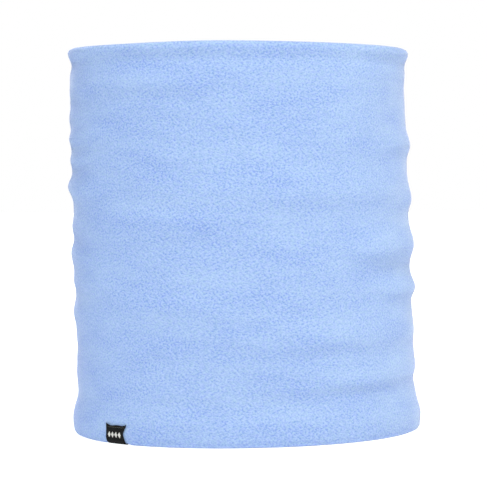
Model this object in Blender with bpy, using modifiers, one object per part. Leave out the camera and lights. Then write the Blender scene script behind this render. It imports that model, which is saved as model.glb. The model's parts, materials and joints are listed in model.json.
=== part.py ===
"""A double-layer fleece neck gaiter: a sewn tube for skiing, standing on its bottom hem.

The outer shell rolls over both edges and is seamed to the lining 14 mm inside them. A woven label wraps
the bottom hem, and a care label swings on the lining's back seam.

Metres, +Z up, -Y to the front. The origin is under the middle of the bottom hem. Every place on the cloth
is given by three numbers: the station t, an angle round the elliptical tube from the back centre, the
depth n, measured inwards from the outer face, and the height z.
"""

import math

import bpy

# Driving dimensions.
HEIGHT = 0.246
HALF_WIDTH = 0.1095
HALF_DEPTH = 0.0585
FLEECE = 0.0016
GAP = 0.0003

# Layers of a hem, from the outside in: shell, lining's edge, shell's edge, shell turned in.
LAYER_STEP = FLEECE + GAP
SHELL_N = FLEECE / 2
LINING_N = SHELL_N + LAYER_STEP
SHELL_EDGE_N = LINING_N + LAYER_STEP
TURNED_N = SHELL_EDGE_N + LAYER_STEP
HEM_INNER_N = TURNED_N + FLEECE / 2
HEM_FLAT = 0.0024
TURN_RADIUS = (TURNED_N - SHELL_N - HEM_FLAT) / 2
HEM_DEPTH = 0.014
HEM_ALLOWANCE = 0.008
RAW_EDGE_Z = HEM_DEPTH - HEM_ALLOWANCE

# Back seams of the two tubes. The lining's is moved aside, and the lining bulges in round both of them.
SHELL_SLIT = 0.0006
LINING_SLIT = 0.0009
LINING_SEAM_S = -0.018
ALLOWANCE_WIDTH = 0.0065
ALLOWANCE_MARGIN = 0.024
BULGE = 0.0027
BULGE_CENTRE_S = LINING_SEAM_S / 2
BULGE_FLAT = 0.019
BULGE_RAMP = 0.016
BULGE_LOW_Z = 0.0145
BULGE_HIGH_Z = 0.0235

# Threads.
THREAD = 0.0004
SEAM_PITCH = 0.0052
SEAM_BITE = 0.0013
HEM_STITCHES = 54

# The woven label round the bottom hem.
LABEL_T = math.pi + math.asin(0.78)
LABEL_WIDTH = 0.0132
LABEL_TOP_Z = 0.0125
LABEL_CLOTH = 0.00035
LABEL_EAR = 0.0006
LABEL_SPAN = 8
TACK_Z = 0.0112
TACK_THREAD = 0.0003
TACK_POINTS = 15

# The care label in the lining's back seam.
CARE_CLOTH = 0.00025
CARE_HEIGHT = 0.028
CARE_LENGTH = 0.038
CARE_TOP_Z = HEIGHT - 0.024
CARE_REST_ANGLE = math.radians(10)
CARE_HINGE_N = LINING_N + FLEECE / 2 + BULGE + 0.00055
CARE_HINGE_CLEARANCE = 0.0003

STATIONS = 60
TURN_STEPS = 3
UTURN_STEPS = 5

PARTS = "neck_gaiter"
CUTTERS = "cutters"


def collection(name):
    found = bpy.data.collections.new(name)
    bpy.context.scene.collection.children.link(found)
    return found


def move_to(obj, name):
    for owner in list(obj.users_collection):
        owner.objects.unlink(obj)
    bpy.data.collections[name].objects.link(obj)


def material(name, colour, roughness, sheen=0.0):
    made = bpy.data.materials.new(name)
    made.use_nodes = True
    shader = made.node_tree.nodes["Principled BSDF"]
    shader.inputs["Base Color"].default_value = (*colour, 1)
    shader.inputs["Roughness"].default_value = roughness
    shader.inputs["Metallic"].default_value = 0
    shader.inputs["Sheen Weight"].default_value = sheen
    return made


# Places on the tube.


def place(t, n, z):
    """The point at station t, n inside the tube's outer face, at height z."""
    speed = math.hypot(HALF_WIDTH * math.cos(t), HALF_DEPTH * math.sin(t))
    x = HALF_WIDTH * math.sin(t) - n * HALF_DEPTH * math.sin(t) / speed
    y = HALF_DEPTH * math.cos(t) - n * HALF_WIDTH * math.cos(t) / speed
    return x, y, z


def heading(t):
    """The direction along the tube at station t, as an angle about +Z from +X."""
    return math.atan2(-HALF_DEPTH * math.sin(t), HALF_WIDTH * math.cos(t))


def station(s):
    """The station s metres along the tube from the back centre, towards +X. True near the back."""
    return s / HALF_WIDTH


def ring_stations(seam_s, slit):
    """Stations all the way round, from one side of a back seam's slit to the other."""
    first = station(seam_s + slit / 2)
    last = 2 * math.pi + station(seam_s - slit / 2)
    return [first + (last - first) * i / STATIONS for i in range(STATIONS + 1)]


def smooth_step(x):
    x = min(max(x, 0.0), 1.0)
    return x * x * (3 - 2 * x)


def bulge(t, z):
    """How far the lining stands in to clear the seam allowances behind it."""
    s = ((t + math.pi) % (2 * math.pi) - math.pi) * HALF_WIDTH
    along = smooth_step((BULGE_FLAT + BULGE_RAMP - abs(s - BULGE_CENTRE_S)) / BULGE_RAMP)
    edge = min(z, HEIGHT - z)
    return BULGE * along * smooth_step((edge - BULGE_LOW_Z) / (BULGE_HIGH_Z - BULGE_LOW_Z))


# Sections of cloth, as lists of (n, z).


def walk(start, bearing, moves):
    """The points of a path of straights ("go", length) and clockwise turns ("turn", radius, degrees, steps)."""
    n, z = start
    angle = math.radians(bearing)
    points = [(n, z)]
    for kind, size, *rest in moves:
        if kind == "go":
            n += size * math.cos(angle)
            z += size * math.sin(angle)
            points.append((n, z))
            continue
        degrees, steps = rest
        centre_n = n + size * math.sin(angle)
        centre_z = z - size * math.cos(angle)
        for _ in range(steps):
            angle -= math.radians(degrees) / steps
            n = centre_n - size * math.sin(angle)
            z = centre_z + size * math.cos(angle)
            points.append((n, z))
    return points


def shell_section():
    """From the raw edge inside the bottom hem, round it, up the wall, over the top and down to the other raw edge."""
    fold_radius = (TURNED_N - SHELL_EDGE_N) / 2
    rise = HEM_DEPTH - FLEECE / 2 - fold_radius - RAW_EDGE_Z
    drop = HEM_DEPTH - FLEECE / 2 - fold_radius - FLEECE / 2 - TURN_RADIUS
    wall = HEIGHT - FLEECE - 2 * TURN_RADIUS
    fold = ("turn", fold_radius, 180, UTURN_STEPS)
    corner = ("turn", TURN_RADIUS, 90, TURN_STEPS)
    hem_turn = [corner, ("go", HEM_FLAT), corner]
    moves = [("go", rise), fold, ("go", drop), *hem_turn, ("go", wall), *hem_turn, ("go", drop), fold, ("go", rise)]
    return walk((SHELL_EDGE_N, RAW_EDGE_Z), 90, moves)


def lining_section():
    ramp = [BULGE_LOW_Z + (BULGE_HIGH_Z - BULGE_LOW_Z) * i / 3 for i in range(4)]
    heights = [RAW_EDGE_Z, *ramp, HEIGHT / 2]
    heights += [HEIGHT - z for z in reversed(heights[:-1])]
    return [(LINING_N, z) for z in heights]


def label_section(rise, outer_n, inner_n, floor_z):
    """Down the inside of the bottom hem from the height rise, under it and up its outside."""
    radius = TURN_RADIUS + FLEECE / 2 - floor_z
    down = rise - floor_z - radius
    flat = inner_n - outer_n - 2 * radius
    corner = ("turn", radius, 90, TURN_STEPS)
    return walk((inner_n, rise), 270, [("go", down), corner, ("go", flat), corner, ("go", down)])


# Solids.


def solidify(obj, thickness):
    modifier = obj.modifiers.new("cloth", "SOLIDIFY")
    modifier.thickness = thickness
    modifier.offset = 0
    modifier.use_even_offset = True


def cloth_sheet(name, stations, section, thickness, finish, group=PARTS, depth=None, widen=None):
    """A sheet of cloth: a grid with its columns at the stations and its rows along the section, given thickness."""
    columns, rows = len(stations) - 1, len(section) - 1
    bpy.ops.mesh.primitive_grid_add(x_subdivisions=columns, y_subdivisions=rows, size=1)
    obj = bpy.context.object
    obj.name = obj.data.name = name
    for vertex in obj.data.vertices:
        t = stations[round((vertex.co.x + 0.5) * columns)]
        n, z = section[round((vertex.co.y + 0.5) * rows)]
        if depth:
            n += depth(t, z)
        if widen:
            t = LABEL_T + (t - LABEL_T) * widen(z)
        vertex.co = place(t, n, z)
    solidify(obj, thickness)
    obj.data.materials.append(finish)
    obj.data.shade_smooth()
    obj.data.set_sharp_from_angle(angle=math.radians(50))
    move_to(obj, group)
    return obj


def thread(name, points, diameter, finish, closed=False):
    """A sewing thread: a round wire through the points."""
    curve = bpy.data.curves.new(name, "CURVE")
    curve.dimensions = "3D"
    curve.bevel_depth = diameter / 2
    curve.bevel_resolution = 1
    curve.use_fill_caps = not closed
    spline = curve.splines.new("POLY")
    spline.points.add(len(points) - 1)
    for point, at in zip(spline.points, points):
        point.co = (*at, 1)
    spline.use_cyclic_u = closed
    obj = bpy.data.objects.new(name, curve)
    curve.materials.append(finish)
    bpy.data.collections[PARTS].objects.link(obj)
    return obj


def block(name, s, n, z, size, group):
    """A block on the back of the tube: size is its extent along the tube, in depth and in height."""
    bpy.ops.mesh.primitive_cube_add(size=1, location=place(station(s), n, z))
    obj = bpy.context.object
    obj.name = obj.data.name = name
    for vertex in obj.data.vertices:
        vertex.co = [co * side for co, side in zip(vertex.co, size)]
    obj.rotation_euler.z = heading(station(s))
    move_to(obj, group)
    return obj


def boolean(obj, other, operation):
    modifier = obj.modifiers.new(other.name, "BOOLEAN")
    modifier.operation = operation
    modifier.solver = "EXACT"
    modifier.object = other
    other.hide_render = True
    other.display_type = "WIRE"


def add_allowances(panel, seam_s, slit, panel_n, side):
    """Two flaps of the panel's own cloth, pressed open on either side of its back seam, on the side given by side."""
    height = HEIGHT - 2 * ALLOWANCE_MARGIN
    flap_n = panel_n + side * LAYER_STEP
    root_width = FLEECE
    for turn in (-1, 1):
        edge = seam_s + turn * slit / 2
        flap_s = edge + turn * ALLOWANCE_WIDTH / 2
        root_s = edge + turn * root_width / 2
        root_n = (panel_n + flap_n) / 2
        word = "left" if turn < 0 else "right"
        size = (ALLOWANCE_WIDTH, FLEECE, height)
        flap = block(f"{panel.name}_allowance_{word}", flap_s, flap_n, HEIGHT / 2, size, CUTTERS)
        size = (root_width, FLEECE, height - 0.002)
        root = block(f"{panel.name}_fold_{word}", root_s, root_n, HEIGHT / 2, size, CUTTERS)
        boolean(panel, root, "UNION")
        boolean(panel, flap, "UNION")


def outer_shell(finish):
    shell = cloth_sheet("outer_shell", ring_stations(0, SHELL_SLIT), shell_section(), FLEECE, finish)
    add_allowances(shell, 0, SHELL_SLIT, SHELL_N, 1)
    pocket_depth = LABEL_CLOTH + GAP
    pocket_cloth = 0.002
    outer_n = pocket_depth - pocket_cloth / 2
    floor_z = pocket_depth - pocket_cloth / 2
    inner_n = HEM_INNER_N - floor_z
    section = label_section(LABEL_TOP_Z + GAP, outer_n, inner_n, floor_z)
    half = LABEL_WIDTH / 2 + GAP
    pocket = cloth_sheet("label_pocket", label_stations(half), section, pocket_cloth, finish, CUTTERS, widen=label_ears)
    boolean(shell, pocket, "DIFFERENCE")
    return shell


def lining(finish):
    stations = ring_stations(LINING_SEAM_S, LINING_SLIT)
    panel = cloth_sheet("lining", stations, lining_section(), FLEECE, finish, depth=bulge)
    add_allowances(panel, LINING_SEAM_S, LINING_SLIT, LINING_N + BULGE, -1)
    return panel


def label_stations(half_width):
    speed = math.hypot(HALF_WIDTH * math.cos(LABEL_T), HALF_DEPTH * math.sin(LABEL_T))
    reach = half_width / speed
    return [LABEL_T + reach * (2 * i / LABEL_SPAN - 1) for i in range(LABEL_SPAN + 1)]


def label_ears(z):
    """The label widens a little towards its stitched ends."""
    return 1 + 2 * LABEL_EAR / LABEL_WIDTH * smooth_step((z - TACK_Z / 2) / (LABEL_TOP_Z - TACK_Z / 2))


def hem_label(finish):
    middle = LABEL_CLOTH / 2
    section = label_section(LABEL_TOP_Z, middle, HEM_INNER_N - middle, middle)
    stations = label_stations(LABEL_WIDTH / 2)
    return cloth_sheet("hem_label", stations, section, LABEL_CLOTH, finish, widen=label_ears)


def tack(name, n, finish):
    """The row of stitches across one end of the hem label."""
    stations = label_stations(LABEL_WIDTH / 2 - 0.0006)
    reach = stations[-1] - stations[0]
    points = []
    for i in range(TACK_POINTS):
        t = stations[0] + reach * i / (TACK_POINTS - 1)
        points.append(place(t, n, TACK_Z + 0.0003 * (-1) ** i))
    return thread(name, points, TACK_THREAD, finish)


def seam_thread(name, seam_s, n, finish):
    """The zigzag of overlock thread that draws a back seam's two allowances together."""
    bottom = ALLOWANCE_MARGIN + 0.001
    count = round((HEIGHT - 2 * bottom) / SEAM_PITCH)
    points = []
    for i in range(count + 1):
        side = SEAM_BITE * (-1) ** i
        points.append(place(station(seam_s + side), n, bottom + i * (HEIGHT - 2 * bottom) / count))
    return thread(name, points, THREAD, finish)


def hem_thread(name, z, finish):
    """The overlock thread over the raw edges of lining and shell inside a hem, all the way round."""
    points = []
    for i in range(2 * HEM_STITCHES):
        n = LINING_N if i % 2 else SHELL_EDGE_N
        points.append(place(math.pi * i / HEM_STITCHES, n, z))
    return thread(name, points, THREAD, finish, closed=True)


def care_label(finish):
    """The sewn-in end of the care label, and its free flap, which swings about the seam."""
    z = CARE_TOP_Z - CARE_HEIGHT / 2
    outer_n = LINING_N - FLEECE / 2 + BULGE - LAYER_STEP + GAP
    inner_n = CARE_HINGE_N - 2 * CARE_HINGE_CLEARANCE
    size = (CARE_CLOTH, inner_n - outer_n, CARE_HEIGHT)
    end = block("care_label_sewn_end", LINING_SEAM_S, (outer_n + inner_n) / 2, z, size, PARTS)
    hinge = bpy.data.objects.new("care_label_hinge", None)
    hinge.location = place(station(LINING_SEAM_S), CARE_HINGE_N, z)
    hinge.rotation_euler.z = heading(station(LINING_SEAM_S)) + CARE_REST_ANGLE
    bpy.data.collections[PARTS].objects.link(hinge)
    bpy.ops.mesh.primitive_cube_add(size=1)
    flap = bpy.context.object
    flap.name = flap.data.name = "care_label_flap"
    for vertex in flap.data.vertices:
        along = CARE_HINGE_CLEARANCE + (0.5 - vertex.co.x) * CARE_LENGTH
        vertex.co = (-along, vertex.co.y * CARE_CLOTH, vertex.co.z * CARE_HEIGHT)
    move_to(flap, PARTS)
    flap.parent = hinge
    for piece in (end, flap):
        piece.data.materials.append(finish)


def main():
    for obj in list(bpy.data.objects):
        bpy.data.objects.remove(obj, do_unlink=True)
    collection(PARTS)
    collection(CUTTERS)
    fleece = material("fleece", (0.42, 0.62, 0.95), 0.95, 0.4)
    lining_fleece = material("lining_fleece", (0.40, 0.60, 0.94), 0.95, 0.4)
    blue_thread = material("blue_thread", (0.36, 0.56, 0.92), 0.6)
    woven = material("woven_label", (0.010, 0.011, 0.012), 0.7)
    black_thread = material("black_thread", (0.012, 0.012, 0.013), 0.55)
    satin = material("care_satin", (0.86, 0.86, 0.84), 0.4)

    outer_shell(fleece)
    lining(lining_fleece)
    thread_n = LAYER_STEP + FLEECE + GAP + THREAD / 2
    seam_thread("shell_seam_thread", 0, thread_n, blue_thread)
    lining_thread_n = LINING_N - FLEECE / 2 + BULGE - LAYER_STEP - GAP - THREAD / 2
    seam_thread("lining_seam_thread", LINING_SEAM_S, lining_thread_n, blue_thread)
    thread_z = RAW_EDGE_Z - GAP - THREAD / 2
    hem_thread("bottom_hem_thread", thread_z, blue_thread)
    hem_thread("top_hem_thread", HEIGHT - thread_z, blue_thread)
    hem_label(woven)
    tack("hem_label_tack_front", -GAP - TACK_THREAD / 2, black_thread)
    tack("hem_label_tack_inside", HEM_INNER_N + GAP + TACK_THREAD / 2, black_thread)
    care_label(satin)


main()
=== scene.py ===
"""The looks of a double-layer fleece neck gaiter: its cloth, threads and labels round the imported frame.

Metres, +Z up, -Y to the front. Every place on the cloth is given by a station t, an angle round the
elliptical tube from the back centre towards +X, a depth n inwards from the outer face, and a height z.
drape() then moves the place by how the soft tube stands: its lean, its flare and its folds.
"""

import json
import math

import bpy
import numpy as np
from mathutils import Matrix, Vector


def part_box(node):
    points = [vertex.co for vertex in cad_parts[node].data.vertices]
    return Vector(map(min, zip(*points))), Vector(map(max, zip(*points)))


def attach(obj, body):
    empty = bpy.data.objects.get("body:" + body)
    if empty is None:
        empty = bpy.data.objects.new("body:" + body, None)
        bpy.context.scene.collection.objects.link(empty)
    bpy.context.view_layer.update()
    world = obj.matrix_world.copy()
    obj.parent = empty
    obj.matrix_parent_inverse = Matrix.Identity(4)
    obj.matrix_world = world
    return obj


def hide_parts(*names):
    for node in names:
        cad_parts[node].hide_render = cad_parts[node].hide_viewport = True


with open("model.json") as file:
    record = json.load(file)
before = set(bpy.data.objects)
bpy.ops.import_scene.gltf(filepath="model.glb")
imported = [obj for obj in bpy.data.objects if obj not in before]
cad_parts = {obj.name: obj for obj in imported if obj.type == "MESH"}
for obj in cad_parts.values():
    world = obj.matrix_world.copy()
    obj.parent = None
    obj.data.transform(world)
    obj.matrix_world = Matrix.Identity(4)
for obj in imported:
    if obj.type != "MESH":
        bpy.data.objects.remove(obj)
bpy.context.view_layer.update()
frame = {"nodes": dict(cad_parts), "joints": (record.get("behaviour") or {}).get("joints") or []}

MM = 0.001

# The tube, from the frame.
SHELL_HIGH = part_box("outer_shell")[1]
HALF_WIDTH = SHELL_HIGH.x
HALF_DEPTH = SHELL_HIGH.y
HEIGHT = SHELL_HIGH.z
FLATNESS = ((HALF_WIDTH - HALF_DEPTH) / (HALF_WIDTH + HALF_DEPTH)) ** 2
GIRTH = math.pi * (HALF_WIDTH + HALF_DEPTH) * (1 + 3 * FLATNESS / (10 + math.sqrt(4 - 3 * FLATNESS)))

# Its layers and hems, as in the CAD model.
FLEECE = 1.6 * MM
LAYER_STEP = 1.9 * MM
SHELL_N = FLEECE / 2
LINING_N = SHELL_N + LAYER_STEP
SHELL_EDGE_N = LINING_N + LAYER_STEP
TURNED_N = SHELL_EDGE_N + LAYER_STEP
HEM_INNER_N = TURNED_N + FLEECE / 2
HEM_FLAT = 0.9 * MM
TURN_RADIUS = (TURNED_N - SHELL_N - HEM_FLAT) / 2
HEM_DEPTH = 14 * MM
RAW_EDGE_Z = 6 * MM
LINING_SEAM_S = -18 * MM
LINING_BULGE = 2.7 * MM

# How the tube stands. Each fold that faces the front has an azimuth and a reach in degrees, from the
# front towards +X, then in mm the height of its ridge, the rise along it, how far it falls away above
# and below the ridge, and its depth.
FRONT_FOLDS = (
    (78, 40, 243, 0, 6, 14, 2.4),
    (-50, 36, 220, 2, 8, 6, 2.9),
    (-70, 30, 203, 3, 6, 5, 1.7),
    (-72, 20, 190, 2, 5, 5, 2.7),
    (-74, 18, 175, 0, 4, 4, 2.2),
    (-78, 24, 158, -2, 5, 6, 3.2),
    (-32, 40, 138, 0, 6, 14, 1.5),
    (-74, 22, 133, 0, 7, 6, 1.8),
    (-78, 26, 115, -5, 5, 9, 2.4),
    (-72, 22, 99, 0, 6, 6, 1.7),
    (-34, 40, 86, -2, 9, 10, 1.2),
    (-74, 28, 78, -2, 7, 8, 2.0),
    (-52, 50, 33, 0, 9, 6, 0.7),
    (38, 18, 205, 0, 32, 30, 1.6),
    (74, 22, 185, 0, 9, 7, 3.0),
    (28, 50, 155, 1, 13, 10, 2.1),
    (80, 12, 150, 0, 8, 6, 2.4),
    (60, 29, 120, 1, 10, 9, 4.8),
    (68, 20, 93, 0, 7, 6, 4.0),
    (40, 48, 65, 1, 12, 9, 2.4),
    (52, 48, 39, 3, 12, 6, 2.4),
)
BACK_FOLDS = 13
LEAN = 7.5 * MM
FLARE = 2.6 * MM
WALL_DRAW_IN = 1.1 * MM
HEM_BULGE = 3.3 * MM
HEM_BULGE_Z = 12 * MM
LIP_GROOVE = 1.8 * MM
LIP_GROOVE_DROP = 10 * MM
LIP_GROOVE_REACH = 4.5 * MM
LEFT_SINK = 1.4 * MM
SLACK_DEPTH = 0.27 * MM
RUMPLE_DEPTH = 0.11 * MM
PILE_DEPTH = 0.05 * MM

# Sewing threads, and how many zigzag stitches they make.
THREAD = 0.4 * MM
TACK_THREAD = 0.3 * MM
SEAM_STITCHES = 38
SEAM_ZIGZAG = 1.3 * MM
SEAM_THREAD_END = 25 * MM
HEM_STITCHES = 108
THREAD_GAP = 0.5 * MM
TACK_POINTS = 25
TACK_ZIGZAG = 0.3 * MM
TACK_OUT = 0.35 * MM

# How deep and how far out a back seam draws the cloth in, at its stitches and around them.
SEAM_NIP = 0.9 * MM
SEAM_NIP_REACH = 0.7 * MM
SEAM_PULL = 0.5 * MM
SEAM_PULL_REACH = 3.5 * MM

# The hem label. LABEL_SPEED is how far one radian of station reaches along the tube there.
LABEL_T = math.pi + math.asin(0.78)
LABEL_SPEED = math.hypot(HALF_WIDTH * math.cos(LABEL_T), HALF_DEPTH * math.sin(LABEL_T))
LABEL_WIDTH = 13.2 * MM
LABEL_TOP_Z = 12.5 * MM
LABEL_CLOTH = 0.35 * MM
LABEL_OUT = 0.05 * MM
LABEL_FLOOR = 0.28 * MM
LABEL_PRESS = 0.55 * MM
LABEL_ASKEW = 0.95 * MM
LABEL_SIDLE = 0.4 * MM
CORNER_LIFT = 1.3 * MM
CORNER_CURL = 0.45 * MM
END_DIP = 0.5 * MM
END_WAVE = 0.25 * MM
TACK_Z = 11.2 * MM
LOZENGE_ROW = 23.2 * MM
LOZENGE_PITCH = 2.6 * MM

# The care label.
CARE_CLOTH = 0.25 * MM
CARE_LENGTH = 38 * MM
CARE_HEIGHT = 28 * MM
CARE_GAP = 0.3 * MM
CARE_RIPPLE = 0.9 * MM
CARE_BOW = 0.5 * MM

# Points of the cloth: round the tube, how much they crowd at its back seam, from 0 to 1, and up it.
COLUMNS = 340
CROWDING = 0.6
SHELL_SPACING = 1.55 * MM
LINING_ROWS = 140
LABEL_SPACING = 0.5 * MM
LABEL_COLUMNS = 33
CARE_GRID = (30, 22)

# How the tube settles as cloth: its rows and columns of points, how much too tall it starts, how firmly
# its hems and its wall are held in place, and the frames that it takes.
TUBE_GRID = (113, 240)
SLUMP = 0.010
HELD_HEM = 16 * MM
LOOSE_GRIP = 0.3
BENDING = 1.0
LOWERING_FRAMES = 10
SETTLING_FRAMES = 20
SMOOTHING_PASSES = 4

# The second fleece colour is painted shade, for the pits between the pile's tufts.
FLEECE_LIGHT = (0.232, 0.329, 0.521)
FLEECE_PIT_SHADE = (0.122, 0.197, 0.472)
BLUE_THREAD = (0.36, 0.56, 0.92)
BLACK_THREAD = (0.012, 0.012, 0.013)

# Light. The sky is dimmer below and towards +X. The floor lights the gaiter by FLOOR_BOUNCE and
# FLOOR_GLOW, and is shown to the camera by SEEN_BOUNCE and SEEN_GLOW, as an even white.
AMBIENT_LOW = 0.03
AMBIENT_HIGH = 0.14
AMBIENT_RIGHT = 0.0
FLOOR_SIZE = 8
FLOOR_COLOUR = (0.95, 0.985, 1.0, 1.0)
FLOOR_BOUNCE = 0.92
FLOOR_GLOW = 0.60
SEEN_BOUNCE = 0.20
SEEN_GLOW = 1.08
LAMP_SIZE = 2.2
LAMPS = (
    ("left_softbox", (-0.40, -2.90, 4.70), 402, (0.930, 0.925, 0.862)),
    ("right_softbox", (2.40, -1.80, 4.70), 258, (1.000, 0.872, 0.600)),
    ("back_softbox", (-0.60, 2.90, 3.40), 145, (0.900, 0.925, 0.950)),
)

CAMERA_AZIMUTH = math.radians(-6.3)
CAMERA_TILT = math.radians(3.41)
CAMERA_DISTANCE = 0.82
CAMERA_HEIGHT = 0.170
LENS = 93.9
SENSOR_WIDTH = 36


# Places on the tube.


def oval(t):
    """(x, y) of the outer face at station t, and the direction out of it."""
    speed = np.hypot(HALF_WIDTH * np.cos(t), HALF_DEPTH * np.sin(t))
    out_x = HALF_DEPTH * np.sin(t) / speed
    out_y = HALF_WIDTH * np.cos(t) / speed
    return HALF_WIDTH * np.sin(t), HALF_DEPTH * np.cos(t), out_x, out_y


def azimuth(t):
    """Degrees round the tube from the front, towards +X, from -180 to 180."""
    return (np.degrees(math.pi - t) + 180) % 360 - 180


def smooth_step(x):
    x = np.clip(x, 0, 1)
    return x * x * (3 - 2 * x)


def bump(x):
    """1 at 0, falling smoothly to nothing at about 2."""
    return np.exp(-x * x)


def folds():
    """All the folds: the front's, and others like them that a seeded draw spreads over the back."""
    draw = np.random.default_rng(11)
    made = list(FRONT_FOLDS)
    for i in range(BACK_FOLDS):
        height = 30 + 200 * (i + draw.uniform(-0.3, 0.3)) / BACK_FOLDS
        made.append((
            180 + draw.uniform(-60, 60), draw.uniform(25, 50), height, draw.uniform(-5, 5),
            draw.uniform(7, 13), draw.uniform(4, 7), draw.uniform(1.6, 3.0),
        ))
    return made


FOLDS = folds()


def waves(seed, count, shortest, longest, level=1.0):
    """A seeded sum of waves over the tube's cloth, about 1 high, as a function of t and z.

    level is how far their crests may lie off the horizontal, from 0 to 1.
    """
    draw = np.random.default_rng(seed)
    made = []
    for _ in range(count):
        length = draw.uniform(shortest, longest)
        angle = math.pi / 2 * (1 + level * draw.uniform(-1, 1))
        turns = round(GIRTH * math.cos(angle) / length)
        climb = 2 * math.pi * math.sin(angle) / length
        made.append((turns, climb, draw.uniform(0, 2 * math.pi)))

    def field(t, z):
        total = 0
        for turns, climb, phase in made:
            total = total + np.cos(turns * t + climb * z + phase)
        return total / math.sqrt(count)

    return field


SLACK = waves(3, 16, 30 * MM, 80 * MM, 0.5)
RUMPLE = waves(4, 40, 12 * MM, 26 * MM, 0.6)
PILE = waves(5, 60, 3.6 * MM, 7 * MM)


def away_from_hems(z, reach):
    return smooth_step(z / reach) * smooth_step((HEIGHT - z) / reach)


def swell(t, z):
    """How far the cloth stands out of the plain oval."""
    where = azimuth(t)
    z_mm = z / MM
    out = 0
    for middle, reach, height, rise, above, below, depth in FOLDS:
        along = ((where - middle + 180) % 360 - 180) / reach
        climb = z_mm - height - rise * along
        fall = np.where(climb > 0, above, below)
        out = out + depth * MM * smooth_step(1.3 - np.abs(along)) * bump(climb / fall)
    side = np.abs(np.sin(t))
    out = out - WALL_DRAW_IN * away_from_hems(z, 20 * MM)
    out = out + FLARE * side * (0.5 - z / HEIGHT)
    out = out + HEM_BULGE * bump((z - HEM_BULGE_Z) / np.where(z > HEM_BULGE_Z, 11 * MM, 15 * MM))
    groove = bump((HEIGHT - z - LIP_GROOVE_DROP) / LIP_GROOVE_REACH) * (1 - 0.5 * bump((where - 12) / 36))
    out = out - LIP_GROOVE * groove
    out = out + SLACK_DEPTH * SLACK(t, z) * away_from_hems(z, 30 * MM)
    out = out + RUMPLE_DEPTH * RUMPLE(t, z) * away_from_hems(z, 8 * MM)
    return out


def place(t, n, z):
    """Points of the plain oval tube, as an array whose last axis is x, y, z."""
    t, n, z = np.broadcast_arrays(t, n, z)
    x, y, out_x, out_y = oval(t)
    return np.stack([x - out_x * n, y - out_y * n, z], axis=-1)


def seeded_move(t, z):
    """How far each place stands from the plain oval, before the cloth has settled."""
    t, z = np.broadcast_arrays(t, z)
    out = -swell(t, z)
    lean = LEAN * (0.5 - z / HEIGHT) * smooth_step(1.5 - 2 * np.cos(t))
    move = place(t, out, z) - place(t, 0, z)
    move[..., 0] += lean
    move[..., 2] -= LEFT_SINK * smooth_step(-1.4 * np.sin(t) - 0.2) * (z / HEIGHT) ** 3
    return move


def settled_move(t, z):
    """The seeded tube, settled as cloth that is a little taller than it stands, so that its folds deepen."""
    rows, columns = TUBE_GRID
    plain = place(t, 0, z)
    standing = plain + seeded_move(t, z)
    tall = standing.copy()
    tall[..., 2] *= 1 + SLUMP
    index = grid_index(rows, columns, closed=True)
    faces = quads(index[:-1, :-1], index[:-1, 1:], index[1:, 1:], index[1:, :-1])
    tube = mesh_object("settling_tube", tall.reshape(-1, 3), faces)
    tube.shape_key_add(name="tall")
    lowered = tube.shape_key_add(name="standing")
    lowered.data.foreach_set("co", standing.reshape(-1))
    for value, when in ((0, 1), (1, LOWERING_FRAMES)):
        lowered.value = value
        lowered.keyframe_insert("value", frame=when)
    held = tube.vertex_groups.new(name="held")
    grip = 1 - (1 - LOOSE_GRIP) * away_from_hems(z, HELD_HEM) * np.ones_like(t)
    for i, weight in enumerate(grip.reshape(-1).tolist()):
        held.add([i], weight, "REPLACE")
    modifier = tube.modifiers.new("cloth", "CLOTH")
    cloth = modifier.settings
    cloth.quality = 6
    cloth.mass = 0.002
    cloth.tension_stiffness = cloth.compression_stiffness = 20
    cloth.shear_stiffness = 10
    cloth.bending_stiffness = BENDING
    cloth.air_damping = 2
    cloth.vertex_group_mass = "held"
    cloth.pin_stiffness = 0.4
    cloth.effector_weights.gravity = 0
    modifier.collision_settings.use_collision = False
    modifier.point_cache.frame_end = SETTLING_FRAMES
    scene = bpy.context.scene
    for frame_number in range(1, SETTLING_FRAMES + 1):
        scene.frame_set(frame_number)
    settled = tube.evaluated_get(bpy.context.evaluated_depsgraph_get()).to_mesh()
    points = np.empty(rows * columns * 3, dtype=np.float32)
    settled.vertices.foreach_get("co", points)
    scene.frame_set(1)
    bpy.data.objects.remove(tube)
    moved = points.reshape(rows, columns, 3) - standing
    for _ in range(SMOOTHING_PASSES):
        moved[1:-1] = (moved[:-2] + 2 * moved[1:-1] + moved[2:]) / 4
    return standing + moved - plain


MOVES = {}


def tube_move():
    """How far the points of the tube's grid stand from the plain oval."""
    if not MOVES:
        rows, columns = TUBE_GRID
        t = (2 * math.pi * np.arange(columns) / columns)[None, :]
        z = np.linspace(0, HEIGHT, rows)[:, None]
        MOVES["grid"] = settled_move(t, z)
    return MOVES["grid"]


def move_at(t, z):
    """How far each place stands from the plain oval, read between the points of the tube's grid."""
    grid = tube_move()
    rows, columns = TUBE_GRID
    t, z = np.broadcast_arrays(t, z)
    column = (t / (2 * math.pi) % 1) * columns
    row = np.clip(z / HEIGHT, 0, 1) * (rows - 1)
    c0 = np.floor(column).astype(int) % columns
    r0 = np.minimum(row.astype(int), rows - 2)
    c1 = (c0 + 1) % columns
    u = (column - np.floor(column))[..., None]
    v = (row - r0)[..., None]
    low = grid[r0, c0] * (1 - u) + grid[r0, c1] * u
    high = grid[r0 + 1, c0] * (1 - u) + grid[r0 + 1, c1] * u
    return low * (1 - v) + high * v


def drape(t, n, z):
    """Points of the standing tube, as an array whose last axis is x, y, z."""
    return place(t, n, z) + move_at(t, z)


# Sections of cloth, as arrays of (n, z).


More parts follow.
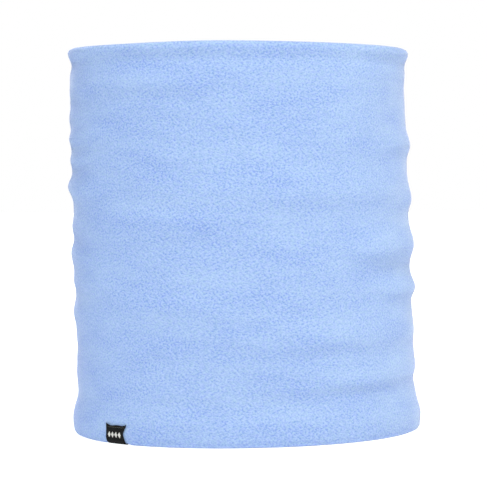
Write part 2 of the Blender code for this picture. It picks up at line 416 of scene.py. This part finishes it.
def walk(start, bearing, moves):
    """A path of straights ("go", length) and clockwise turns ("turn", radius, degrees)."""
    n, z = start
    angle = math.radians(bearing)
    points = [(n, z)]
    for kind, size, *rest in moves:
        if kind == "go":
            n += size * math.cos(angle)
            z += size * math.sin(angle)
            points.append((n, z))
            continue
        steps = 12
        centre_n = n + size * math.sin(angle)
        centre_z = z - size * math.cos(angle)
        for _ in range(steps):
            angle -= math.radians(rest[0]) / steps
            n = centre_n - size * math.sin(angle)
            z = centre_z + size * math.cos(angle)
            points.append((n, z))
    return np.array(points)


def resample(path, spacing):
    """The path with its points spaced evenly, about that far apart."""
    steps = np.hypot(*np.diff(path, axis=0).T)
    length = np.concatenate([[0], np.cumsum(steps)])
    count = max(2, round(length[-1] / spacing) + 1)
    wanted = np.linspace(0, length[-1], count)
    return np.stack([np.interp(wanted, length, path[:, i]) for i in range(2)], axis=1)


def path_length(path):
    return float(np.hypot(*np.diff(path, axis=0).T).sum())


def offset(path, distance):
    """The path moved to its left."""
    heading = np.gradient(path, axis=0)
    heading /= np.hypot(*heading.T)[:, None]
    left = np.stack([-heading[:, 1], heading[:, 0]], axis=1)
    return path + left * distance


def shell_path():
    """The middle of the shell's cloth, from its raw edge in the bottom hem to the one in the top hem."""
    fold_radius = (TURNED_N - SHELL_EDGE_N) / 2
    rise = HEM_DEPTH - FLEECE / 2 - fold_radius - RAW_EDGE_Z
    drop = HEM_DEPTH - FLEECE - fold_radius - TURN_RADIUS
    wall = HEIGHT - FLEECE - 2 * TURN_RADIUS
    fold = ("turn", fold_radius, 180)
    hem_turn = [("turn", TURN_RADIUS, 90), ("go", HEM_FLAT), ("turn", TURN_RADIUS, 90)]
    into_hem = [("go", rise), fold, ("go", drop)]
    moves = [*into_hem, *hem_turn, ("go", wall), *hem_turn, *reversed(into_hem)]
    return walk((SHELL_EDGE_N, RAW_EDGE_Z), 90, moves)


def label_path(rise, outer_n, inner_n, floor_z, radius):
    """Down the inside of the bottom hem, under it and up its outside, to the height rise."""
    down = rise - floor_z - radius
    flat = inner_n - outer_n - 2 * radius
    corner = ("turn", radius, 90)
    return walk((inner_n, rise), 270, [("go", down), corner, ("go", flat), corner, ("go", down)])


# Meshes.


def mesh_object(name, points, faces):
    mesh = bpy.data.meshes.new(name)
    mesh.from_pydata(points.tolist(), [], faces.tolist())
    mesh.update()
    obj = bpy.data.objects.new(name, mesh)
    bpy.context.scene.collection.objects.link(obj)
    mesh.shade_smooth()
    return obj


def grid_index(rows, columns, closed):
    """The number of each point of a grid. closed repeats its first column after its last."""
    index = np.arange(rows * columns).reshape(rows, columns)
    return np.concatenate([index, index[:, :1]], axis=1) if closed else index


def quads(a, b, c, d):
    return np.stack([a, b, c, d], axis=-1).reshape(-1, 4)


def unwrap(mesh, rows, columns, width, height):
    """A UV map in metres: across the sheet's columns and along its rows."""
    vertex = np.empty(len(mesh.loops), dtype=int)
    mesh.loops.foreach_get("vertex_index", vertex)
    row, column = np.divmod(vertex.reshape(-1, 4) % (rows * columns), columns)
    wraps = (column.max(axis=1) - column.min(axis=1) > 1)[:, None]
    column = np.where(wraps & (column == 0), columns, column)
    places = np.stack([column * width / (columns - 1), row * height / (rows - 1)], axis=-1)
    mesh.uv_layers.new(name="cloth").data.foreach_set("uv", places.reshape(-1))


def solid_sheet(name, face, back, flat, closed=False):
    """A closed solid between two grids of points, rows by columns.

    face is the side whose columns crossed with its rows point out of the solid. flat is the width and
    height of the piece that it is cut from. closed joins its last column to its first.
    """
    rows, columns = face.shape[:2]
    index = grid_index(rows, columns, closed)
    under = index + rows * columns
    made = [
        quads(index[:-1, :-1], index[:-1, 1:], index[1:, 1:], index[1:, :-1]),
        quads(under[:-1, :-1], under[1:, :-1], under[1:, 1:], under[:-1, 1:]),
        quads(index[0, :-1], under[0, :-1], under[0, 1:], index[0, 1:]),
        quads(index[-1, :-1], index[-1, 1:], under[-1, 1:], under[-1, :-1]),
    ]
    if not closed:
        made.append(quads(index[:-1, 0], index[1:, 0], under[1:, 0], under[:-1, 0]))
        made.append(quads(index[:-1, -1], under[:-1, -1], under[1:, -1], index[1:, -1]))
    points = np.concatenate([face.reshape(-1, 3), back.reshape(-1, 3)])
    obj = mesh_object(name, points, np.concatenate(made))
    unwrap(obj.data, rows, columns, *flat)
    return obj


def wire(name, points, diameter, closed=False):
    """A sewing thread through the points."""
    curve = bpy.data.curves.new(name, "CURVE")
    curve.dimensions = "3D"
    curve.bevel_depth = diameter / 2
    curve.bevel_resolution = 2
    curve.use_fill_caps = not closed
    spline = curve.splines.new("POLY")
    spline.points.add(len(points) - 1)
    for point, at in zip(spline.points, points):
        point.co = (*at, 1)
    spline.use_cyclic_u = closed
    obj = bpy.data.objects.new(name, curve)
    bpy.context.scene.collection.objects.link(obj)
    return obj


# Materials.


class Shader:
    """A Principled material whose nodes are added one call at a time."""

    def __init__(self, name, **sockets):
        self.material = bpy.data.materials.new(name)
        self.material.use_nodes = True
        self.tree = self.material.node_tree
        self.principled = self.tree.nodes["Principled BSDF"]
        for socket, value in sockets.items():
            self.principled.inputs[socket.replace("_", " ")].default_value = value

    def node(self, kind, _settings=None, **inputs):
        """A node whose inputs are given by name, or as in0, in1 and so on by number."""
        made = self.tree.nodes.new("ShaderNode" + kind)
        for key, value in (_settings or {}).items():
            setattr(made, key, value)
        for key, value in inputs.items():
            numbered = key.startswith("in") and key[2:].isdigit()
            socket = made.inputs[int(key[2:]) if numbered else key]
            if isinstance(value, bpy.types.NodeSocket):
                self.tree.links.new(value, socket)
            else:
                socket.default_value = value
        return made

    def math(self, operation, a, b=0.0):
        return self.node("Math", {"operation": operation}, in0=a, in1=b).outputs[0]

    def noise(self, coords, scale, detail=2.0, roughness=0.5):
        inputs = {"Vector": coords, "Scale": scale, "Detail": detail, "Roughness": roughness}
        return self.node("TexNoise", {"noise_dimensions": "2D"}, **inputs).outputs["Fac"]

    def ramp(self, value, stops):
        made = self.node("ValToRGB", in0=value)
        elements = made.color_ramp.elements
        for element, (at, colour) in zip(elements, stops):
            element.position = at
            element.color = (*colour, 1)
        for at, colour in stops[len(elements):]:
            elements.new(at).color = (*colour, 1)
        return made.outputs[0]

    def feed(self, socket, value):
        self.tree.links.new(value, self.principled.inputs[socket])


def middle(pit_shade, light):
    """The colour between two, nearer to the light one."""
    return tuple(0.36 * d + 0.64 * l for d, l in zip(pit_shade, light))


def fleece_material(name, pit_shade, light):
    """Brushed micro-fleece: pale tufts with painted shade in the small pits between them, and patches of nap
    that are paler or darker, partly their own tone and partly painted highlight.
    """
    nap = {"Sheen_Weight": 0.25, "Sheen_Roughness": 0.45, "Sheen_Tint": (0.84, 0.82, 1.0, 1)}
    shader = Shader(name, Roughness=0.95, **nap)
    shader.principled.inputs["Specular IOR Level"].default_value = 0.15
    cloth = shader.node("TexCoord").outputs["UV"]
    upright = shader.node("Mapping", Vector=cloth, Scale=(1.0, 0.72, 1.0)).outputs[0]
    turned = shader.node("Mapping", Vector=upright, Rotation=(0, 0, 0.6)).outputs[0]
    level = shader.node("Mapping", Vector=cloth, Scale=(1.0, 1.5, 1.0)).outputs[0]
    pile = shader.noise(turned, scale=1330.0, detail=0.0)
    fine = shader.noise(turned, scale=2400.0, detail=0.0)
    height = shader.math("ADD", shader.math("MULTIPLY", pile, 0.6), shader.math("MULTIPLY", fine, 0.4))
    # Patches of the nap, paler or darker and streaked across: partly their own tone, partly painted
    # highlight.
    nap_tone_and_highlight = shader.noise(level, scale=44.0, detail=3.0, roughness=0.7)
    hue = shader.noise(cloth, scale=620.0, detail=1.0)
    lift = shader.math("MULTIPLY", shader.math("SUBTRACT", nap_tone_and_highlight, 0.5), 0.37)
    # The ramp paints shade into the low places of the pile, between its tufts.
    stops = [(0.2, pit_shade), (0.5, middle(pit_shade, light)), (0.72, light)]
    shade = shader.ramp(shader.math("ADD", height, lift), stops)
    tint = shader.ramp(hue, [(0.3, (0.96, 1.0, 0.96)), (0.7, (1.035, 1.0, 1.035))])
    multiply = {"data_type": "RGBA", "blend_type": "MULTIPLY"}
    colour = shader.node("Mix", multiply, in0=1.0, in6=shade, in7=tint)
    shader.feed("Base Color", colour.outputs[2])
    relief = shader.node("Bump", Strength=0.45, Distance=0.0005, Height=height)
    shader.feed("Normal", relief.outputs[0])
    return shader.material


def thread_material(name, colour):
    """Spun polyester thread: fine fibres, with painted shade a little darker between them."""
    shader = Shader(name, Roughness=0.55, Sheen_Weight=0.2)
    coords = shader.node("TexCoord").outputs["Object"]
    fibres = shader.node("TexNoise", Vector=coords, Scale=5200.0).outputs["Fac"]
    # The darker colour is painted shade between the fibres.
    low = tuple(0.72 * c for c in colour)
    shader.feed("Base Color", shader.ramp(fibres, [(0.3, low), (0.65, colour)]))
    relief = shader.node("Bump", Strength=0.5, Distance=0.0001, Height=fibres)
    shader.feed("Normal", relief.outputs[0])
    return shader.material


def weave_height(shader, warp, weft):
    """The relief of a plain weave that repeats every warp and weft metres, and the cloth's UV places."""
    places = shader.node("SeparateXYZ", in0=shader.node("TexCoord").outputs["UV"])
    crests = []
    for axis, pitch in (("X", warp), ("Y", weft)):
        turns = shader.math("MULTIPLY", places.outputs[axis], 2 * math.pi / pitch)
        crests.append(shader.math("SINE", turns))
    return shader.math("MULTIPLY", *crests), places


def woven_label_material():
    """Black damask with a plain row of pale lozenges woven across its outer face."""
    shader = Shader("woven_black", Roughness=0.75)
    shader.principled.inputs["Specular IOR Level"].default_value = 0.1
    weave, places = weave_height(shader, warp=0.36 * MM, weft=0.30 * MM)
    across = shader.math("SUBTRACT", places.outputs["X"], LABEL_WIDTH / 2)
    from_row = shader.math("ABSOLUTE", shader.math("SUBTRACT", places.outputs["Y"], LOZENGE_ROW))
    from_middle = shader.math("PINGPONG", shader.math("ADD", across, LOZENGE_PITCH / 2), LOZENGE_PITCH / 2)
    wide = shader.math("DIVIDE", from_middle, 0.42 * LOZENGE_PITCH)
    high = shader.math("DIVIDE", from_row, 0.75 * LOZENGE_PITCH)
    inside = shader.math("LESS_THAN", shader.math("ADD", wide, high), 1.0)
    row = shader.math("LESS_THAN", shader.math("ABSOLUTE", across), 2 * LOZENGE_PITCH)
    motif = shader.math("MULTIPLY", inside, row)
    # The ground and the pale yarn are darker in the weave's hollows than on its crests: painted shade.
    ground = shader.ramp(weave, [(0.0, (0.002, 0.0025, 0.0035)), (1.0, (0.005, 0.006, 0.008))])
    pale = shader.ramp(weave, [(0.0, (0.40, 0.41, 0.42)), (1.0, (0.66, 0.67, 0.68))])
    colour = shader.node("Mix", {"data_type": "RGBA"}, in0=motif, in6=ground, in7=pale)
    shader.feed("Base Color", colour.outputs[2])
    shader.feed("Normal", shader.node("Bump", Strength=0.6, Distance=0.0001, Height=weave).outputs[0])
    return shader.material


def satin_material():
    """White satin ribbon: fine lengthwise floats with a soft gloss."""
    shader = Shader("care_satin", Roughness=0.38)
    weave, _ = weave_height(shader, warp=0.22 * MM, weft=1.4 * MM)
    slubs = shader.noise(shader.node("TexCoord").outputs["UV"], scale=900.0)
    relief = shader.math("ADD", shader.math("MULTIPLY", weave, 0.3), slubs)
    shader.feed("Base Color", shader.ramp(slubs, [(0.3, (0.76, 0.76, 0.735)), (0.7, (0.86, 0.86, 0.84))]))
    shader.feed("Normal", shader.node("Bump", Strength=0.35, Distance=0.00008, Height=relief).outputs[0])
    return shader.material


# The pieces.


def stations(count, middle=0.0):
    """Stations all the way round, closest together at a back seam."""
    even = np.arange(count) / count
    return middle + 2 * math.pi * even - CROWDING * np.sin(2 * math.pi * even)


def back_distance(t):
    """How far a station near the back lies towards +X from its middle, along the cloth."""
    return ((t + math.pi) % (2 * math.pi) - math.pi) * HALF_WIDTH


def seam_groove(t, seam_s):
    """How far a vertical seam draws the cloth in."""
    s = back_distance(t) - seam_s
    return SEAM_NIP * bump(s / SEAM_NIP_REACH) + SEAM_PULL * bump(s / SEAM_PULL_REACH)


def label_window(t):
    """1 under the hem label, 0 away from it."""
    return smooth_step((LABEL_WIDTH / 2 + 2.0 * MM - np.abs(t - LABEL_T) * LABEL_SPEED) / (1.6 * MM))


def label_end(z):
    """0 along the hem label's fold, rising to 1 at its stitched ends."""
    return smooth_step((z - 7 * MM) / (5 * MM))


def label_station(across, z):
    """The station of a point of the hem label that lies across to the right of its middle line.

    The label is sewn on a little askew, so its middle line wanders.
    """
    at_top = LABEL_ASKEW * label_end(z)
    below = LABEL_SIDLE * bump((z - 6 * MM) / (3 * MM))
    return LABEL_T - (across + at_top - below) / LABEL_SPEED


def bulge(t, z):
    """How far the lining stands in to clear the seam allowances behind it."""
    from_seams = np.abs(back_distance(t) - LINING_SEAM_S / 2)
    along = smooth_step((35 * MM - from_seams) / (16 * MM))
    edge = np.minimum(z, HEIGHT - z)
    return LINING_BULGE * along * smooth_step((edge - 14.5 * MM) / (9 * MM))


def fleece_shell():
    """The outer layer, turned in over both edges, with its back seam and the nip of the hem label."""
    path = resample(shell_path(), SHELL_SPACING)
    t = stations(COLUMNS)[None, :]
    sides = []
    for side in (-1, 1):
        rows = offset(path, side * FLEECE / 2)
        n, z = rows[:, :1], rows[:, 1:]
        on_wall = (n < SHELL_N + FLEECE) * np.ones_like(t)
        depth = n + seam_groove(t, 0) * on_wall
        if side > 0:
            press = LABEL_PRESS * label_window(t) * smooth_step((14.5 * MM - z) / (1.5 * MM))
            depth = depth + press * np.sign(HEM_INNER_N / 2 - n)
            z = z + press * smooth_step((3 * MM - z) / (3 * MM))
            depth = depth - PILE_DEPTH * PILE(t, z)
        sides.append(drape(t, depth, z))
    return solid_sheet("fleece_shell", *sides, (GIRTH, path_length(path)), closed=True)


def fleece_lining():
    """The inner layer, between its seams with the shell's raw edges."""
    z = np.linspace(RAW_EDGE_Z, HEIGHT - RAW_EDGE_Z, LINING_ROWS)[:, None]
    t = stations(COLUMNS, LINING_SEAM_S / HALF_WIDTH)[None, :]
    middle = LINING_N + bulge(t, z)
    middle = middle - 0.7 * seam_groove(t, LINING_SEAM_S) * away_from_hems(z, 14 * MM)
    outer = drape(t, middle - FLEECE / 2, z)
    inner = drape(t, middle + FLEECE / 2 + PILE_DEPTH * PILE(t, z), z)
    return solid_sheet("fleece_lining", inner, outer, (GIRTH, HEIGHT - 2 * RAW_EDGE_Z), closed=True)


def woven_hem_label():
    """The folded label, its stitched ends a little wider than its middle and lifting at their corners."""
    radius = TURN_RADIUS + FLEECE / 2 - 0.25 * MM
    path = label_path(LABEL_TOP_Z, -LABEL_OUT, HEM_INNER_N + LABEL_OUT, LABEL_FLOOR, radius)
    path = resample(path, LABEL_SPACING)
    u = np.linspace(-1, 1, LABEL_COLUMNS)[None, :]
    corner = np.abs(u) ** 3
    sides = []
    for side in (1, -1):
        rows = offset(path, side * LABEL_CLOTH / 2)
        n, z = rows[:, :1], rows[:, 1:]
        end = label_end(z)
        waist = smooth_step((z - 4 * MM) / (3 * MM)) * smooth_step((11.5 * MM - z) / (3 * MM))
        half = LABEL_WIDTH / 2 * (0.95 - 0.07 * waist + 0.05 * end)
        lift = end * (CORNER_LIFT * corner - END_DIP + END_WAVE * np.sin(4.5 * u + 1))
        outside = n < HEM_INNER_N / 2
        curl = CORNER_CURL * end * corner * np.where(outside, -1, 1)
        sides.append(drape(label_station(u * half, z), n + curl, z + lift))
    return solid_sheet("woven_hem_label", *sides, (LABEL_WIDTH, path_length(path)))


def tack(name, n):
    """The zigzag that holds one end of the hem label, at depth n."""
    across = np.linspace(-1, 1, TACK_POINTS) * (LABEL_WIDTH / 2 - 0.6 * MM)
    z = TACK_Z + TACK_ZIGZAG * np.where(np.arange(TACK_POINTS) % 2, 1, -1)
    return wire(name, drape(label_station(across, z), n, z), TACK_THREAD)


def seam_thread(name, seam_s, n):
    """The zigzag up a back seam that lies seam_s towards +X, at depth n."""
    i = np.arange(SEAM_STITCHES + 1)
    side = SEAM_ZIGZAG * np.where(i % 2, -1, 1)
    z = SEAM_THREAD_END + i * (HEIGHT - 2 * SEAM_THREAD_END) / SEAM_STITCHES
    return wire(name, drape((seam_s + side) / HALF_WIDTH, n, z), THREAD)


def hem_thread(name, z):
    """The ring that joins the raw edges of shell and lining inside a hem, at height z."""
    i = np.arange(HEM_STITCHES)
    n = np.where(i % 2, LINING_N, SHELL_EDGE_N)
    return wire(name, drape(2 * math.pi * i / HEM_STITCHES, n, z), THREAD, closed=True)


def care_label_flap():
    """The free end: a satin strip that ripples a little, hinged at its seam."""
    joint = frame["joints"][0]
    axis = Vector(joint["pos_m"])
    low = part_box("care_label_flap")[0]
    tip = Vector((low.x, low.y, axis.z))
    along = (tip - axis).normalized()
    across = Vector((-along.y, along.x, 0))
    rows = np.linspace(CARE_GAP, CARE_LENGTH, CARE_GRID[0])[:, None]
    heights = np.linspace(-CARE_HEIGHT / 2, CARE_HEIGHT / 2, CARE_GRID[1])[None, :]
    share = rows / CARE_LENGTH
    ripple = CARE_RIPPLE * share**2 * np.sin(heights / CARE_HEIGHT * 5 + 0.6)
    ripple = ripple - CARE_BOW * np.sin(math.pi * share)
    sides = []
    for side in (1, -1):
        off = ripple + side * CARE_CLOTH / 2
        x = axis.x + along.x * rows + across.x * off
        y = axis.y + along.y * rows + across.y * off
        z = axis.z + heights + 0 * rows
        sides.append(np.stack([x, y, z], axis=-1))
    return solid_sheet("care_label", *sides, (CARE_HEIGHT, CARE_LENGTH))


def build():
    shell_fleece = fleece_material("shell_fleece", FLEECE_PIT_SHADE, FLEECE_LIGHT)
    lining_fleece = fleece_material("lining_fleece", FLEECE_PIT_SHADE, FLEECE_LIGHT)
    blue = thread_material("blue_thread", BLUE_THREAD)
    black = thread_material("black_thread", BLACK_THREAD)
    woven = woven_label_material()
    satin = satin_material()

    shell_thread_n = LAYER_STEP + FLEECE + THREAD_GAP
    lining_thread_n = LINING_N - FLEECE / 2 + LINING_BULGE - LAYER_STEP - THREAD_GAP
    thread_z = RAW_EDGE_Z - THREAD_GAP
    pieces = [
        (fleece_shell(), "outer_shell", "fleece_shell", shell_fleece),
        (fleece_lining(), "lining", "fleece_lining", lining_fleece),
        (seam_thread("shell_back_thread", 0, shell_thread_n), "shell_seam_thread", "thread", blue),
        (
            seam_thread("lining_back_thread", LINING_SEAM_S, lining_thread_n),
            "lining_seam_thread", "thread", blue,
        ),
        (hem_thread("bottom_edge_thread", thread_z), "bottom_hem_thread", "thread", blue),
        (hem_thread("top_edge_thread", HEIGHT - thread_z), "top_hem_thread", "thread", blue),
        (woven_hem_label(), "hem_label", "woven_label", woven),
        (tack("front_tack", -TACK_OUT), "hem_label_tack_front", "label_thread", black),
        (tack("inside_tack", HEM_INNER_N + TACK_OUT), "hem_label_tack_inside", "label_thread", black),
    ]
    for piece, node, slot, material in pieces:
        piece.data.materials.append(material)
        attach(piece, "gaiter")
        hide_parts(node)
    flap = care_label_flap()
    flap.data.materials.append(satin)
    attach(flap, "care_label")
    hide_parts("care_label_flap")
    frame["nodes"]["care_label_sewn_end"].data.materials.clear()
    frame["nodes"]["care_label_sewn_end"].data.materials.append(satin)

    path_length(shell_path())


# The studio.


def floor():
    """The white ground, with one brightness for the light it throws and one for the camera."""
    bpy.ops.mesh.primitive_plane_add(size=FLOOR_SIZE)
    plane = bpy.context.object
    plane.name = "studio_floor"
    shader = Shader("studio_white", Roughness=0.9)
    shader.principled.inputs["Emission Color"].default_value = FLOOR_COLOUR
    seen = shader.node("LightPath").outputs["Is Camera Ray"]
    for socket, usual, shown in (
        ("Base Color", FLOOR_BOUNCE, SEEN_BOUNCE),
        ("Emission Strength", FLOOR_GLOW, SEEN_GLOW),
    ):
        change = shader.math("MULTIPLY", seen, shown - usual)
        shader.feed(socket, shader.math("ADD", change, usual))
    plane.data.materials.append(shader.material)


def lamp(name, place, power, colour):
    """A soft square lamp that faces the middle of the gaiter."""
    data = bpy.data.lights.new(name, "AREA")
    data.size = LAMP_SIZE
    data.energy = power
    data.color = colour
    obj = bpy.data.objects.new(name, data)
    obj.location = place
    aim = Vector((0, 0, HEIGHT / 2)) - Vector(place)
    obj.rotation_euler = aim.to_track_quat("-Z", "Y").to_euler()
    bpy.context.scene.collection.objects.link(obj)


def sky_light():
    """A dim sky that the camera sees as plain white."""
    world = bpy.data.worlds.new("studio")
    world.use_nodes = True
    tree = world.node_tree
    sky = tree.nodes["Background"]
    sky.inputs["Color"].default_value = (1, 1, 1, 1)
    direction = tree.nodes.new("ShaderNodeTexCoord")
    height = tree.nodes.new("ShaderNodeSeparateXYZ")
    tree.links.new(direction.outputs["Generated"], height.inputs[0])
    dome = tree.nodes.new("ShaderNodeMapRange")
    dome.inputs["To Min"].default_value = AMBIENT_LOW
    dome.inputs["To Max"].default_value = AMBIENT_HIGH
    tree.links.new(height.outputs["Z"], dome.inputs["Value"])
    side = tree.nodes.new("ShaderNodeMapRange")
    side.inputs["To Min"].default_value = 1.0
    side.inputs["To Max"].default_value = AMBIENT_RIGHT
    tree.links.new(height.outputs["X"], side.inputs["Value"])
    shaded = tree.nodes.new("ShaderNodeMath")
    shaded.operation = "MULTIPLY"
    tree.links.new(dome.outputs["Result"], shaded.inputs[0])
    tree.links.new(side.outputs["Result"], shaded.inputs[1])
    seen = tree.nodes.new("ShaderNodeLightPath")
    strength = tree.nodes.new("ShaderNodeMapRange")
    strength.inputs["To Max"].default_value = 1.0
    tree.links.new(shaded.outputs[0], strength.inputs["To Min"])
    tree.links.new(seen.outputs["Is Camera Ray"], strength.inputs["Value"])
    tree.links.new(strength.outputs["Result"], sky.inputs["Strength"])
    bpy.context.scene.world = world


def studio():
    floor()
    sky_light()
    for name, place, power, colour in LAMPS:
        lamp(name, place, power, colour)
    bpy.context.scene.view_settings.view_transform = "Standard"


def camera():
    data = bpy.data.cameras.new("camera")
    data.lens = LENS
    data.sensor_width = SENSOR_WIDTH
    obj = bpy.data.objects.new("camera", data)
    ahead = Vector((-math.sin(CAMERA_AZIMUTH), math.cos(CAMERA_AZIMUTH), 0))
    obj.location = -CAMERA_DISTANCE * ahead + Vector((0, 0, CAMERA_HEIGHT))
    obj.rotation_euler = (math.radians(90) - CAMERA_TILT, 0, CAMERA_AZIMUTH)
    bpy.context.scene.collection.objects.link(obj)
    bpy.context.scene.camera = obj


camera()
studio()
build()
